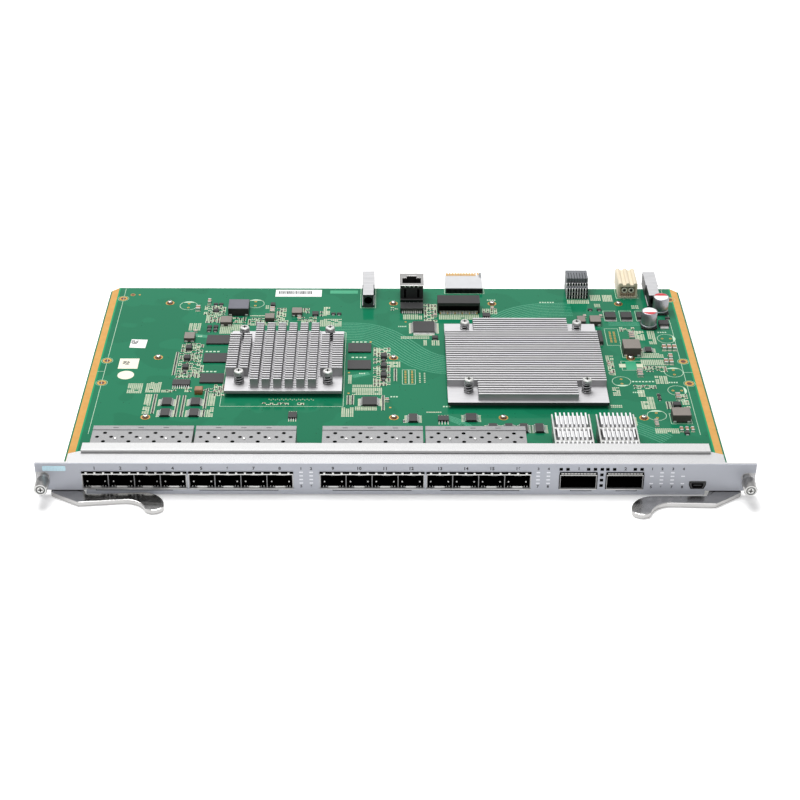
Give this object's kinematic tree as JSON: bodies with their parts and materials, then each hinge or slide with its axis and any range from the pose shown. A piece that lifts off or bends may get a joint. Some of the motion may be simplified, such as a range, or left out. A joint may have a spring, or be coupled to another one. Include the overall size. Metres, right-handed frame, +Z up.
{
  "type": "olt line card",
  "caption": "Line card for an optical access chassis: populated circuit board behind a front panel with module cages, finned heatsinks, rear connectors, ejector levers and captive screws.",
  "frame": {"origin": "middle of the bottom of the whole card, on the plane it rests on", "axes": "+X to the right along the front panel, +Y rearwards from the panel towards the rear connectors, +Z up from the board"},
  "size_m": [0.394, 0.272, 0.0228],
  "materials": {
    "board": "satin green lacquer",
    "bright_sheet": "plain sheet",
    "face_print": "matt grey-blue",
    "sealing": "soft metal weave",
    "cage_sheet": "bright",
    "heatsink": "satin",
    "polished_steel": "mirror polished",
    "plain_steel": "plain",
    "spring_steel": "dark",
    "chip_black": "matt",
    "moulded_black": "satin",
    "moulded_grey": "matt",
    "moulded_beige": "matt",
    "gold": "plated",
    "die_cast": "plated",
    "light_bar": "clear moulding"
  },
  "bodies": {
    "card": {"circuit_board": "board", "front_panel": "bright_sheet", "face_overlay": "face_print", "sealing_strip": "sealing", "small_heatsink": "heatsink", "large_heatsink": "heatsink", "small_chip": "chip_black", "large_chip": "chip_black", "small_sink_screws": "plain_steel", "large_sink_screws": "plain_steel", "small_sink_springs": "spring_steel", "large_sink_springs": "spring_steel", "small_backplate": "plain_steel", "large_backplate": "plain_steel", "board_screws": "plain_steel", "board_spacers": "plain_steel", "status_lights": "light_bar", "service_socket": "plain_steel", "option_connector": "moulded_black", "backplane_connector": "moulded_grey", "power_connector": "moulded_beige", "electrolytic_capacitors": "bright_sheet", "power_coils": "moulded_black", "memory_chips": "chip_black", "logic_chips": "chip_black", "wide_sockets": "moulded_black", "rider_clips": "spring_steel", "line_transformer": "moulded_black", "service_jack": "moulded_black", "jack_frame": "plain_steel", "signal_connector": "moulded_grey", "signal_contacts": "gold", "port_cage_1": "cage_sheet", "port_sockets_1": "moulded_black", "port_cage_2": "cage_sheet", "port_sockets_2": "moulded_black", "port_cage_3": "cage_sheet", "port_sockets_3": "moulded_black", "port_cage_4": "cage_sheet", "port_sockets_4": "moulded_black", "wide_cage_1": "cage_sheet", "rider_sink_1": "heatsink", "wide_cage_2": "cage_sheet", "rider_sink_2": "heatsink", "left_guide_module": "die_cast", "left_lever_bracket": "plain_steel", "left_pivot_rivet": "polished_steel", "left_screw_ferrule": "plain_steel", "right_guide_module": "die_cast", "right_lever_bracket": "plain_steel", "right_pivot_rivet": "polished_steel", "right_screw_ferrule": "plain_steel"},
    "left_lever": {"left_ejector_lever": "polished_steel"},
    "right_lever": {"right_ejector_lever": "polished_steel"},
    "left_screw_slider": {"left_screw_retainer": "plain_steel", "left_screw_spring": "spring_steel"},
    "left_screw": {"left_captive_screw": "polished_steel"},
    "right_screw_slider": {"right_screw_retainer": "plain_steel", "right_screw_spring": "spring_steel"},
    "right_screw": {"right_captive_screw": "polished_steel"}
  },
  "joints": [
    {"name": "left_lever_swing", "type": "hinge", "parent": "card", "child": "left_lever", "pos_m": [-0.182, -0.10509, 0.0015], "axis": [0, 0, 1], "range_deg": [-75, 0]},
    {"name": "left_screw_press", "type": "slide", "parent": "card", "child": "left_screw_slider", "axis": [0, 1, 0], "range_m": [0, 0.004], "stiffness_N_per_m": 600, "springref_m": -0.0015, "deforming": ["left_screw_spring"]},
    {"name": "left_screw_turn", "type": "hinge", "parent": "left_screw_slider", "child": "left_screw", "pos_m": [-0.1923, -0.12259, 0.0121], "axis": [0, 1, 0], "continuous": true},
    {"name": "right_lever_swing", "type": "hinge", "parent": "card", "child": "right_lever", "pos_m": [0.182, -0.10509, 0.0015], "axis": [0, 0, 1], "range_deg": [-5, 70]},
    {"name": "right_screw_press", "type": "slide", "parent": "card", "child": "right_screw_slider", "axis": [0, 1, 0], "range_m": [0, 0.004], "stiffness_N_per_m": 600, "springref_m": -0.0015, "deforming": ["right_screw_spring"]},
    {"name": "right_screw_turn", "type": "hinge", "parent": "right_screw_slider", "child": "right_screw", "pos_m": [0.1923, -0.12259, 0.0121], "axis": [0, 1, 0], "continuous": true}
  ]
}
